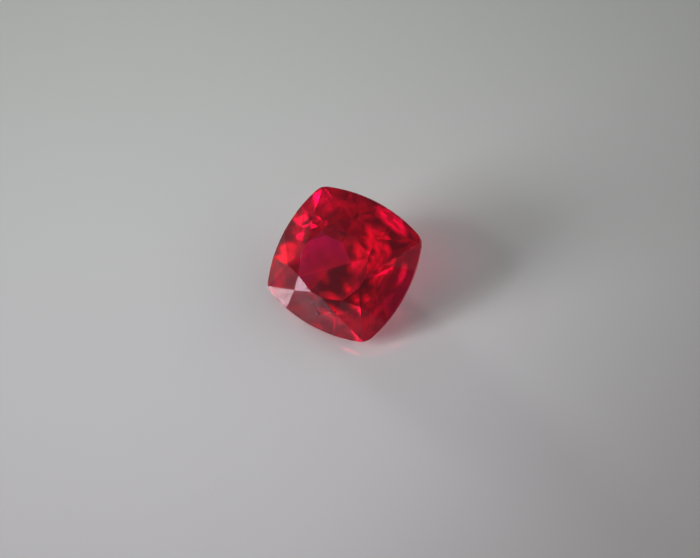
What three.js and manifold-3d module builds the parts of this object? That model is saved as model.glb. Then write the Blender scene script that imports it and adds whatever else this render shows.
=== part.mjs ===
// Cushion-cut ruby: one polished gemstone, lying on a lower facet as a loose stone does.
// Millimetres, +Z up. The stone is shaped with its table up and the upper edge of its girdle at
// z = 0, facet by facet, and is laid down at the end.

import * as THREE from 'three';
import { mergeVertices } from 'three/addons/utils/BufferGeometryUtils.js';
import Module from 'manifold-3d';

// Outline, seen from above the table
const WIDTH = 7.0; // across two opposite sides
const SIDE_RADIUS = 7.7; // each side is an arc that bows outward
const CORNER_RADIUS = 0.85;
const OUTLINE_TURN = 1.2; // degrees between the outline and the facets
const OUT_OF_SQUARE = 0.029; // share by which one diagonal is longer and the other shorter
const ARC_STEPS = 12; // straight steps in each arc of the girdle

// Heights
const GIRDLE = 0.22; // thickness of the girdle where facets meet on it
const TABLE_HEIGHT = 1.32; // from the girdle's upper edge to the table
const MEET_HEIGHT = 1.013; // where bezel, star and girdle facets meet in the crown
const CULET = 0.05; // cut off the point at the bottom

// Crown facets: degrees of slope, and degrees round from the middle of a side
const SIDE_BEZEL = 36.3;
const CORNER_BEZEL = 30.8;
const STAR = { slope: 23.1, index: 22.7 };
const UPPER_MIDDLE = { slope: 38.8, index: 5.5 };
const UPPER_CORNER = { slope: 38.9, index: 19.5 };

// Pavilion facets
const MAIN = 39.3; // slope of the four large facets round the point; the stone lies on one
const MAIN_REACH = 3.635; // from the axis to where a main's plane comes up to the girdle
const LOWER_MIDDLE = { slope: 42.5, index: 5.5 };
const LOWER_CORNER = { slope: 41.3, index: 19.5 };
const GIRDLE_MEET = 23.5; // degrees round to the meet between a side's middle and its corner

const CUTTER = 40; // edge of the block that takes each facet off
const SPARE = 1; // height of the blank above the table
const WELD = 1e-5; // points closer than this are one
const CORNER = 45; // degrees round from the middle of a side to a corner
const QUARTERS = [0, 90, 180, 270];
const UP = new THREE.Vector3(0, 0, 1);
const rad = THREE.MathUtils.degToRad;

const wasm = await Module();
wasm.setup();

// The outline's corner arcs touch its side arcs, whose centres lie across the stone's axis.
const sideCentre = SIDE_RADIUS - WIDTH / 2;
const centreGap = SIDE_RADIUS - CORNER_RADIUS;
const cornerCentre = Math.sqrt(centreGap ** 2 - sideCentre ** 2 / 2) - sideCentre / Math.SQRT2;
const cornerReach = cornerCentre + CORNER_RADIUS;

function outline() {
  const inward = cornerCentre / Math.SQRT2;
  const sideHalf = Math.atan2(inward, inward + sideCentre);
  const cornerHalf = rad(CORNER) - sideHalf;
  const shape = new THREE.Shape();
  for (const quarter of QUARTERS.map(rad)) {
    const sideX = -sideCentre * Math.cos(quarter);
    const sideY = -sideCentre * Math.sin(quarter);
    shape.absarc(sideX, sideY, SIDE_RADIUS, quarter - sideHalf, quarter + sideHalf);
    const diagonal = quarter + rad(CORNER);
    const cornerX = cornerCentre * Math.cos(diagonal);
    const cornerY = cornerCentre * Math.sin(diagonal);
    shape.absarc(cornerX, cornerY, CORNER_RADIUS, diagonal - cornerHalf, diagonal + cornerHalf);
  }
  return shape;
}

// Distance from the axis to a side arc at an angle from the side's middle.
function sideReach(degrees) {
  const across = sideCentre * Math.sin(rad(degrees));
  return Math.sqrt(SIDE_RADIUS ** 2 - across ** 2) - sideCentre * Math.cos(rad(degrees));
}

function polar(reach, degrees, z) {
  return new THREE.Vector3(reach * Math.cos(rad(degrees)), reach * Math.sin(rad(degrees)), z);
}

function slopeNormal(index, slope, upward) {
  const out = Math.sin(rad(slope));
  return polar(out, index, upward * Math.cos(rad(slope)));
}

function toSolid(geometry) {
  const bare = geometry.clone();
  bare.deleteAttribute('normal');
  bare.deleteAttribute('uv');
  const merged = mergeVertices(bare, WELD);
  return new wasm.Manifold(new wasm.Mesh({
    numProp: 3,
    vertProperties: merged.attributes.position.array,
    triVerts: Uint32Array.from(merged.index.array),
  }));
}

function toGeometry(solid) {
  const mesh = solid.getMesh();
  const geometry = new THREE.BufferGeometry();
  geometry.setAttribute('position', new THREE.BufferAttribute(mesh.vertProperties, 3));
  geometry.setIndex(new THREE.BufferAttribute(mesh.triVerts, 1));
  return geometry;
}

// A block whose lower face is the facet's plane, so taking it away grinds the facet.
function cutter({ normal, point }) {
  const block = new THREE.BoxGeometry(CUTTER, CUTTER, CUTTER).translate(0, 0, CUTTER / 2);
  block.applyQuaternion(new THREE.Quaternion().setFromUnitVectors(UP, normal));
  return toSolid(block.translate(point.x, point.y, point.z));
}

// The copies of a facet round the stone: four when it faces a side or a corner squarely, and
// otherwise eight, as mirrored pairs.
function tier({ index, slope, upward, point }) {
  const hands = index % CORNER === 0 ? [1] : [1, -1];
  return QUARTERS.flatMap((quarter) => hands.map((hand) => ({
    normal: slopeNormal(quarter + hand * index, slope, upward),
    point: new THREE.Vector3(point.x, hand * point.y, point.z).applyAxisAngle(UP, rad(quarter)),
  })));
}

function crownFacets() {
  const side = polar(WIDTH / 2, 0, 0);
  const corner = polar(cornerReach, CORNER, 0);
  const meetX = WIDTH / 2 - MEET_HEIGHT / Math.tan(rad(SIDE_BEZEL));
  const meetDiagonal = cornerReach - MEET_HEIGHT / Math.tan(rad(CORNER_BEZEL));
  const meet = new THREE.Vector3(meetX, meetDiagonal * Math.SQRT2 - meetX, MEET_HEIGHT);
  return [
    { normal: UP, point: UP.clone().multiplyScalar(TABLE_HEIGHT) },
    ...tier({ index: 0, slope: SIDE_BEZEL, upward: 1, point: side }),
    ...tier({ index: CORNER, slope: CORNER_BEZEL, upward: 1, point: corner }),
    ...tier({ ...STAR, upward: 1, point: meet }),
    ...tier({ ...UPPER_MIDDLE, upward: 1, point: meet }),
    ...tier({ ...UPPER_CORNER, upward: 1, point: meet }),
  ];
}

function pavilionFacets() {
  const main = polar(MAIN_REACH, 0, -GIRDLE);
  const meet = polar(sideReach(GIRDLE_MEET), GIRDLE_MEET, -GIRDLE);
  const depth = GIRDLE + MAIN_REACH * Math.tan(rad(MAIN));
  return [
    ...tier({ index: 0, slope: MAIN, upward: -1, point: main }),
    ...tier({ ...LOWER_MIDDLE, upward: -1, point: meet }),
    ...tier({ ...LOWER_CORNER, upward: -1, point: meet }),
    { normal: UP.clone().negate(), point: new THREE.Vector3(0, 0, CULET - depth) },
  ];
}

// The outline drawn up into a plain blank, then ground to its facets.
function facetedStone() {
  const top = TABLE_HEIGHT + SPARE;
  const bottom = GIRDLE + WIDTH;
  const blank = new THREE.ExtrudeGeometry(outline(), {
    depth: top + bottom,
    bevelEnabled: false,
    curveSegments: ARC_STEPS / 2,
  });
  blank.translate(0, 0, -bottom).rotateZ(rad(OUTLINE_TURN));
  let solid = toSolid(blank);
  for (const facet of [...crownFacets(), ...pavilionFacets()]) {
    solid = solid.subtract(cutter(facet));
  }
  return toGeometry(solid);
}

const stretch = new THREE.Matrix4().set(
  1, OUT_OF_SQUARE, 0, 0,
  OUT_OF_SQUARE, 1, 0, 0,
  0, 0, 1, 0,
  0, 0, 0, 1,
);

// Turns the stone until its main facet towards -Y is level underneath, and the table leans
// towards -Y.
function layDown(mesh) {
  const down = slopeNormal(-90, MAIN, -1);
  down.applyMatrix4(stretch.clone().invert().transpose()).normalize();
  const up = down.clone().negate();
  const back = up.clone().multiplyScalar(up.z).sub(UP).normalize();
  const right = back.clone().cross(up);
  const turn = new THREE.Matrix4().makeBasis(right, back, up).transpose();
  mesh.quaternion.setFromRotationMatrix(turn);
  const box = new THREE.Box3().setFromObject(mesh, true);
  const centre = box.getCenter(new THREE.Vector3());
  mesh.position.set(-centre.x, -centre.y, -box.min.z);
}

const ruby = new THREE.MeshStandardMaterial({ color: 0xb0102c, roughness: 0.04, metalness: 0 });
const stone = new THREE.Mesh(facetedStone().applyMatrix4(stretch), ruby);
stone.name = 'ruby_stone';
layDown(stone);

const group = new THREE.Group();
group.add(stone);

export default group;
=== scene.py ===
# %% [markdown]
# # A cushion-cut ruby, lying on a pale table
# The stone is one polished solid, and its CAD model is the fixed frame that everything is built
# around. The CAD box is read at the start and printed.

import math

import bmesh
import bpy
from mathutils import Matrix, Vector


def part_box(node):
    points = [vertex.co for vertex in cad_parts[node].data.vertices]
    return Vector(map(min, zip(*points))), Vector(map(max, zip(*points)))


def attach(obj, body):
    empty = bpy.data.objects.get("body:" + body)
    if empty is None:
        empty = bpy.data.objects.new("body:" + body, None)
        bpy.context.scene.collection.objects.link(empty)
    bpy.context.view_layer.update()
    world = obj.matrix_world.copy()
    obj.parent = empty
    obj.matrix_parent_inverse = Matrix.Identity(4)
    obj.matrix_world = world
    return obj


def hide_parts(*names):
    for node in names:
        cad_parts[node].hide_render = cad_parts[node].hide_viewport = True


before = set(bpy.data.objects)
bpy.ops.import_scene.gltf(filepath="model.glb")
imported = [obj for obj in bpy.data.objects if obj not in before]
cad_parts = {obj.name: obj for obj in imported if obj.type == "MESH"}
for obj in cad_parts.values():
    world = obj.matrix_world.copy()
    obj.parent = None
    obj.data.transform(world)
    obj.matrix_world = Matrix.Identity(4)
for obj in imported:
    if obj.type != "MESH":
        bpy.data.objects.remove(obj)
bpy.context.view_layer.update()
MM = 0.001
low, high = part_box("ruby_stone")
print("CAD stone, mm:", [round(v / MM, 3) for v in high - low])

# %% [markdown]
# ## The view
# The photograph looks down on the stone through a long lens, from about a hand's breadth away. The
# lens is worked out from how wide a strip the picture shows at the stone, so the stone comes out at
# its true size in the frame. The camera aims a little beside the stone, as the picture does. Three
# directions as seen in the picture, right, away and up, serve for everything placed later.

# %% The camera
VIEW_AZIMUTH = math.radians(34.34)
VIEW_ELEVATION = math.radians(57.93)
DISTANCE = 91 * MM
STRIP = 34.31 * MM
GIRDLE_CENTRE = Vector((0.0, -0.070, 2.472)) * MM
AIM_RIGHT = 0.34 * MM
AIM_DOWN = 0.73 * MM
NEAREST = 1 * MM
FARTHEST = 10

right = Vector((math.cos(VIEW_AZIMUTH), math.sin(VIEW_AZIMUTH), 0))
away = Vector((-math.sin(VIEW_AZIMUTH), math.cos(VIEW_AZIMUTH), 0))
up = Vector((0, 0, 1))
to_camera = math.sin(VIEW_ELEVATION) * up - math.cos(VIEW_ELEVATION) * away
picture_up = math.cos(VIEW_ELEVATION) * up + math.sin(VIEW_ELEVATION) * away
aim = GIRDLE_CENTRE + AIM_RIGHT * right - AIM_DOWN * picture_up

camera_data = bpy.data.cameras.new("camera")
camera = bpy.data.objects.new("camera", camera_data)
bpy.context.scene.collection.objects.link(camera)
bpy.context.scene.camera = camera
camera.location = GIRDLE_CENTRE + DISTANCE * to_camera
camera.rotation_euler = (aim - camera.location).to_track_quat("-Z", "Y").to_euler()
camera_data.lens = camera_data.sensor_width * DISTANCE / STRIP
camera_data.clip_start = NEAREST
camera_data.clip_end = FARTHEST
print("lens, mm:", round(camera_data.lens, 1))

# %% [markdown]
# ## Sums on sockets
# A finish is a small sum over noise and position. Wrapping a socket in a class lets the sum be
# written as one, and each operator then adds its Math node. Every other node comes from one method,
# and the short methods after it name the few kinds that come up again and again.

# %% A socket that adds and multiplies
class Wire:
    def __init__(self, tree, socket):
        self.tree = tree
        self.socket = socket

    def math(self, operation, first, second):
        return self.tree.node("ShaderNodeMath", {"operation": operation}, {0: first, 1: second})

    def __add__(self, other):
        return self.math("ADD", self, other)

    def __mul__(self, other):
        return self.math("MULTIPLY", self, other)

    def __rsub__(self, other):
        return self.math("SUBTRACT", other, self)

    __radd__ = __add__
    __rmul__ = __mul__


class Nodes:
    def __init__(self, owner):
        owner.use_nodes = True
        self.owner = owner
        self.tree = owner.node_tree
        self.tree.nodes.clear()

    def node(self, kind, settings=None, values=None, output=0):
        made = self.tree.nodes.new(kind)
        for key, value in (settings or {}).items():
            setattr(made, key, value)
        for key, value in (values or {}).items():
            if isinstance(value, Wire):
                self.tree.links.new(value.socket, made.inputs[key])
            else:
                made.inputs[key].default_value = value
        return Wire(self, made.outputs[output]) if made.outputs else made

    def place(self):
        return self.node("ShaderNodeTexCoord", output="Object")

    def noise(self, place, scale, detail):
        values = {"Vector": place, "Scale": scale, "Detail": detail}
        return self.node("ShaderNodeTexNoise", {}, values, output="Fac")

    def vector(self, operation, first, second):
        """A sum on two vectors whose answer is one number."""
        return self.node(
            "ShaderNodeVectorMath", {"operation": operation}, {0: first, 1: second}, output="Value"
        )

    def mix(self, share, first, second):
        """From the first colour at a share of 0 to the second at 1."""
        return self.node(
            "ShaderNodeMix", {"data_type": "RGBA"}, {0: share, 6: first, 7: second}, output=2
        )

    def ramp(self, value, start, end, low, high):
        """A soft step: low up to start, high from end on."""
        return self.node(
            "ShaderNodeMapRange", {"interpolation_type": "SMOOTHSTEP"},
            {0: value, 1: start, 2: end, 3: low, 4: high},
        )


# %% [markdown]
# ## The polished stone
# The CAD solid arrives as loose triangles. A copy is merged, its flat triangles are joined back
# into facets, and the edges get a very thin bevel, because a real facet edge is never a perfect
# knife and catches a hairline of light. Edges that turn by only a few degrees, such as the steps
# round the girdle's arcs, are left as they are.

# %% Facets with hairline edges
EDGE_BEVEL = 0.010 * MM
WELD = 0.001 * MM
FLAT = math.radians(0.3)
SHARP = math.radians(6)

stone_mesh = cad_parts["ruby_stone"].data.copy()
stone_mesh.materials.clear()
shaping = bmesh.new()
shaping.from_mesh(stone_mesh)
bmesh.ops.remove_doubles(shaping, verts=shaping.verts, dist=WELD)
bmesh.ops.dissolve_limit(shaping, angle_limit=FLAT, verts=shaping.verts, edges=shaping.edges)
print("facets:", len(shaping.faces))
sharp_edges = [edge for edge in shaping.edges if edge.calc_face_angle(0) > SHARP]
bmesh.ops.bevel(
    shaping, geom=sharp_edges, offset=EDGE_BEVEL, segments=1, affect="EDGES", clamp_overlap=True,
)
print("bevelled edges:", len(sharp_edges), "faces now:", len(shaping.faces))
shaping.to_mesh(stone_mesh)
shaping.free()
stone = bpy.data.objects.new("polished_ruby", stone_mesh)
bpy.context.scene.collection.objects.link(stone)
for face in stone_mesh.polygons:
    face.use_smooth = False

# %% [markdown]
# ## Painted glow
# Daylight makes a ruby give off some red light of its own, and a little of this emission is that.
# Most of it is painted glow: a weak red emission, seen again and again through the facets, which
# fills the darks with soft clouds where window light sent round by the facets would be. A scattering
# volume would be slow and noisy to render. The clouds are strongest in the stone's right half, as
# the picture's bright patches are. Seven have places of their own. Each began near where a line of
# sight from one of those patches, followed through the facets, meets the surface again, and one was
# moved since.
# Their strengths began as a fit of renders to the picture, and were then raised. A fine noise
# breaks them up, and a coarser one adds faint clouds to the whole underside.

# %% Clouds of painted glow
# Each cloud of painted glow: millimetres right, away and up from the girdle's centre, its reach, its
# strength.
PAINTED_GLOW_CLOUDS = {
    "right corner, crown": (2.35, 1.6, 1.0, 1.0, 1.20),
    "right corner, underside": (1.7, 1.65, -1.2, 0.7, 0.95),
    "right, lower down": (1.5, 1.5, -2.0, 0.7, 0.65),
    "right edge": (2.6, 0.0, -0.5, 0.6, 0.60),
    "middle": (1.05, 0.1, -2.45, 0.55, 0.34),
    "lower left": (0.1, -0.8, -2.45, 0.7, 0.18),
    "top corner": (-0.4, 2.75, 0.0, 0.9, 0.16),
}
CLOUD_CORE = 0.25  # share of a cloud's reach over which it is full
CLOUD_EDGE = 1.25  # share of its reach at which it has faded out
FAINT_CLOUDS = 0.14
FADE_DEPTH = 0.5 * MM  # below the girdle, where the faint clouds come in
# An even red glow: partly the ruby's own red glow in daylight, partly painted glow that lifts the
# darks.
EVEN_GLOW = 0.026
GLOW_RED = (1.0, 0.0, 0.08)
NO_GLOW = (0.0, 0.0, 0.0)
TABLE_WAY = Vector((0.0, -0.634, 0.773))

ruby = Nodes(bpy.data.materials.new("polished_ruby"))
place = ruby.place()
mottle = ruby.ramp(ruby.noise(place, 1500.0, 1.5), 0.38, 0.66, 0.25, 1.1)
faint_glow = ruby.ramp(ruby.noise(place, 900.0, 1.5), 0.48, 0.70, 0.0, 1.0)
height = ruby.vector("DOT_PRODUCT", place, TABLE_WAY)
girdle_height = GIRDLE_CENTRE.dot(TABLE_WAY)
under = ruby.ramp(height, girdle_height - FADE_DEPTH, girdle_height, 1.0, 0.0)
# Painted glow: an even base plus the clouds, in place of window light sent back through the facets.
painted_glow_share = EVEN_GLOW + FAINT_CLOUDS * (faint_glow * under)
for rightward, backward, upward, reach, strength in PAINTED_GLOW_CLOUDS.values():
    middle = GIRDLE_CENTRE + (rightward * right + backward * away + upward * up) * MM
    gap = ruby.vector("DISTANCE", place, middle)
    core = CLOUD_CORE * reach * MM
    edge = CLOUD_EDGE * reach * MM
    painted_glow_share = painted_glow_share + ruby.ramp(gap, core, edge, strength, 0.0) * mottle
glow = ruby.mix(painted_glow_share, (*NO_GLOW, 1), (*GLOW_RED, 1))
# The clouds counted here are painted glow.
print("silk clouds:", len(PAINTED_GLOW_CLOUDS))

# %% [markdown]
# ## Ruby
# Ruby swallows green almost at once and blue within a few millimetres, and lets red through. So the
# depth of its colour comes from absorption in the volume, and longer ways through the stone come
# out darker and redder. The base colour takes out the green, which never gets through, and more
# than half of the blue, and a broad noise varies it a little. The surface is polished, but some of
# the silk's softness goes into its roughness, which blurs what is seen through it.

# %% Ruby finish
PALER_RED = (1.0, 0.0, 0.40)
DEEPER_RED = (0.88, 0.0, 0.30)
DEPTH_RED = (0.945, 0.0, 0.785)

zoning = ruby.noise(place, 420.0, 3.0)
polish = ruby.noise(place, 2600.0, 4.0)
shine = ruby.node(
    "ShaderNodeBsdfPrincipled", {},
    {
        "Base Color": ruby.mix(zoning, (*PALER_RED, 1), (*DEEPER_RED, 1)),
        "Roughness": 0.07 + 0.04 * polish,
        "IOR": 1.765,
        "Transmission Weight": 1.0,
        "Specular Tint": (1.0, 0.70, 0.86, 1),
        "Emission Color": glow,
        "Emission Strength": 1.0,
    },
)
depth = ruby.node(
    "ShaderNodeVolumeAbsorption", {}, {"Color": (*DEPTH_RED, 1), "Density": 1500.0},
)
ruby.node("ShaderNodeOutputMaterial", {}, {"Surface": shine, "Volume": depth})
print("ruby nodes:", len(ruby.tree.nodes))
stone_mesh.materials.append(ruby.owner)
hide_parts("ruby_stone")
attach(stone, "root")

# %% [markdown]
# ## The table top
# A smooth pale sheet with a clear gloss over it. Its gloss matters, because the stone's lower crown
# facets look down on it and mirror the window's gleam. A pool of light on its left, and half shade
# away from it, most of all towards the picture's lower right, are painted into the sheet's colour as
# lit and shaded tones, which also shift a little from front to back. A screen beside the lights
# could throw that shade, but painted shade in the sheet is easier to place.

# %% Pale sheet
FLOOR_REACH = 1.5
POOL_CENTRE = (-9.5 * right + 1.0 * away) * MM
POOL_RADIUS = 50 * MM
CORNERWARD = 0.77 * right - 0.64 * away
CORNER_START = 6 * MM
CORNER_END = 26 * MM
NEAR_ROW = -14 * MM
FAR_ROW = 18 * MM
GRAIN = 0.03

floor_mesh = bpy.data.meshes.new("pale_sheet")
corners = [
    (x * FLOOR_REACH, y * FLOOR_REACH, 0) for x, y in ((-1, -1), (1, -1), (1, 1), (-1, 1))
]
floor_mesh.from_pydata(corners, [], [(0, 1, 2, 3)])
floor = bpy.data.objects.new("pale_sheet", floor_mesh)
bpy.context.scene.collection.objects.link(floor)
print("sheet corners:", len(corners))

# %% Its tone, with painted light and shade
sheet = Nodes(bpy.data.materials.new("pale_sheet"))
sheet_place = sheet.place()
grain = sheet.noise(sheet_place, 300.0, 2.0)
row = sheet.vector("DOT_PRODUCT", sheet_place, away)
near_to_far = sheet.ramp(row, NEAR_ROW, FAR_ROW, 0, 1)
# Painted light and shade: a lit and a shaded tone of the one sheet, each shifting from front to
# back.
lit = sheet.mix(near_to_far, (0.94, 0.92, 0.945, 1), (0.87, 0.89, 0.86, 1))
shaded = sheet.mix(near_to_far, (0.45, 0.425, 0.42, 1), (0.46, 0.46, 0.445, 1))
pool_gap = sheet.vector("DISTANCE", sheet_place, POOL_CENTRE)
painted_pool_shade = sheet.ramp(pool_gap, 0, POOL_RADIUS, 0, 1)
cornerward = sheet.vector("DOT_PRODUCT", sheet_place, CORNERWARD)
painted_corner_shade = sheet.ramp(cornerward, CORNER_START, CORNER_END, 0, 0.8)
# Painted shade: the sheet darkens away from the pool of light and towards the lower right corner.
shade = 1 - (1 - painted_pool_shade) * (1 - painted_corner_shade)
sheet_shine = sheet.node(
    "ShaderNodeBsdfPrincipled", {},
    {
        "Base Color": sheet.mix(shade + GRAIN * grain, lit, shaded),
        "Roughness": 0.16,
        "IOR": 1.5,
        "Coat Weight": 1.0,
        "Coat Roughness": 0.12,
        "Coat IOR": 2.1,
    },
)
sheet.node("ShaderNodeOutputMaterial", {}, {"Surface": sheet_shine})
floor_mesh.materials.append(sheet.owner)
print("sheet nodes:", len(sheet.tree.nodes))

# %% [markdown]
# ## Windows
# The main window stands low on the left and throws the long shadow to the right. The crown's left
# corner shows its brighter top part, mirrored once more in the sheet's gloss. A second, smaller
# window behind the stone throws the fainter shadow towards the lower right. Directions are given as
# seen in the picture: azimuth turns from its right towards the back, and elevation rises from the
# table. A panel is as wide and high as its angles say, and its power is worked out from how bright
# its surface looks.

# %% Light panels
PANEL_DISTANCE = 0.5


def direction(azimuth, elevation):
    turn = math.radians(azimuth)
    rise = math.radians(elevation)
    level = math.cos(turn) * right + math.sin(turn) * away
    return math.cos(rise) * level + math.sin(rise) * up


def panel(name, azimuth, elevation, width, height, radiance, colour):
    data = bpy.data.lights.new(name, "AREA")
    data.shape = "RECTANGLE"
    data.size = 2 * PANEL_DISTANCE * math.tan(math.radians(width / 2))
    data.size_y = 2 * PANEL_DISTANCE * math.tan(math.radians(height / 2))
    data.energy = math.pi * radiance * data.size * data.size_y
    data.color = colour
    made = bpy.data.objects.new(name, data)
    bpy.context.scene.collection.objects.link(made)
    made.location = PANEL_DISTANCE * direction(azimuth, elevation)
    made.rotation_euler = (-made.location).to_track_quat("-Z", "Y").to_euler()
    made.visible_camera = False
    print(name, "watts:", round(data.energy, 2))


panel("main_window", -159, 19.5, 25, 25, 11.2, (1.0, 0.96, 1.0))
panel("window_top", -168, 38, 10, 8, 17, (1.0, 0.97, 0.98))
panel("second_window", 131, 13, 10, 14, 15, (0.97, 1.0, 1.0))

# %% [markdown]
# ## The room
# The rest of the light comes from pale walls and a dim ceiling. The room is a dark background with
# a few soft patches, each a smooth step that grows towards its middle. They keep mostly clear of
# the directions that the large crown facets mirror towards the camera, because those facets are
# dark in the picture.

# %% Soft patches
ROOM_WHITE = (0.95, 1.0, 0.99)
ROOM_LEVEL = 0.10
# Each patch: azimuth, elevation and reach in degrees, then its strength.
PATCHES = {
    "wall behind": (112, 12, 24, 0.6),
    "ceiling at the left": (-170, 62, 22, 0.7),
    "ceiling in front": (-12, 40, 24, 0.6),
    "wall at the front": (-34, 14, 24, 0.7),
    "wall at the right": (20, 28, 34, 0.9),
}

world = Nodes(bpy.data.worlds.new("dim_room"))
sky_way = world.node("ShaderNodeTexCoord", output="Generated")
level = ROOM_LEVEL
for azimuth, elevation, reach, strength in PATCHES.values():
    facing = world.vector("DOT_PRODUCT", sky_way, direction(azimuth, elevation))
    level = world.ramp(facing, math.cos(math.radians(reach)), 1.0, 0.0, strength) + level
sky = world.node("ShaderNodeBackground", {}, {"Color": (*ROOM_WHITE, 1), "Strength": level})
world.node("ShaderNodeOutputWorld", {}, {"Surface": sky})
bpy.context.scene.world = world.owner
bpy.context.scene.view_settings.view_transform = "Standard"
print("room patches:", len(PATCHES))
